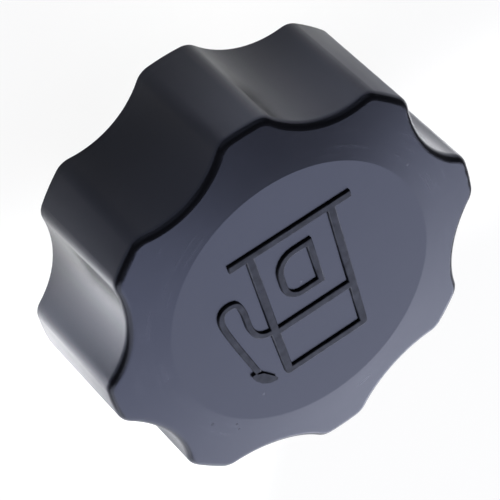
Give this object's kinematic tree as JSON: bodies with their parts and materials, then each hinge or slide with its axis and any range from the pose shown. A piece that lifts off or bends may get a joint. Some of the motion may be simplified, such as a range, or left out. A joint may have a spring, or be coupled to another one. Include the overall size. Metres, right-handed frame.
{
  "type": "fuel cap",
  "caption": "Round scalloped screw-on fuel cap with a pump sign on its face, a ratchet inside, a sealed threaded closure and spring-loaded vent valves.",
  "frame": {"origin": "centre of the grip's rim, on the plane that the cap rests on with its face up", "axes": "+Z along the cap's axis, out of its face; +X to the right of the pump sign and +Y up it, seen from above"},
  "size_m": [0.0854, 0.0854, 0.0304],
  "materials": {
    "grip_plastic": "satin moulded black plastic with a slight blue cast",
    "closure_plastic": "dull moulded black plastic",
    "ring_plastic": "natural acetal, satin",
    "valve_plastic": "natural acetal, satin",
    "retainer_plastic": "natural acetal, satin",
    "gasket_rubber": "matt nitrile rubber",
    "seal_rubber": "matt fluoro rubber",
    "plate_steel": "pressed stainless sheet",
    "spring_steel": "drawn stainless wire",
    "clip_steel": "pressed spring steel",
    "filter_foam": "open-cell foam"
  },
  "bodies": {
    "closure": {"closure_body": "closure_plastic", "neck_gasket": "gasket_rubber", "spring_retainer": "retainer_plastic", "vent_filter": "filter_foam", "relief_spring": "spring_steel"},
    "grip": {"grip_shell": "grip_plastic", "ratchet_ring": "ring_plastic"},
    "relief": {"relief_plate": "plate_steel", "relief_seal": "seal_rubber", "vacuum_spring": "spring_steel"},
    "vacuum": {"vacuum_valve": "valve_plastic", "vacuum_clip": "clip_steel"}
  },
  "joints": [
    {"name": "grip_turn", "type": "hinge", "parent": "closure", "child": "grip", "pos_m": [0, 0, 0.02], "axis": [0, 0, 1], "continuous": true},
    {"name": "relief_lift", "type": "slide", "parent": "closure", "child": "relief", "axis": [0, 0, 1], "range_m": [0, 0.0015], "stiffness_N_per_m": 250, "springref_m": -0.006, "deforming": ["relief_spring"]},
    {"name": "vacuum_drop", "type": "slide", "parent": "relief", "child": "vacuum", "axis": [0, 0, -1], "range_m": [0, 0.001], "stiffness_N_per_m": 60, "springref_m": -0.0025, "deforming": ["vacuum_spring"]}
  ]
}
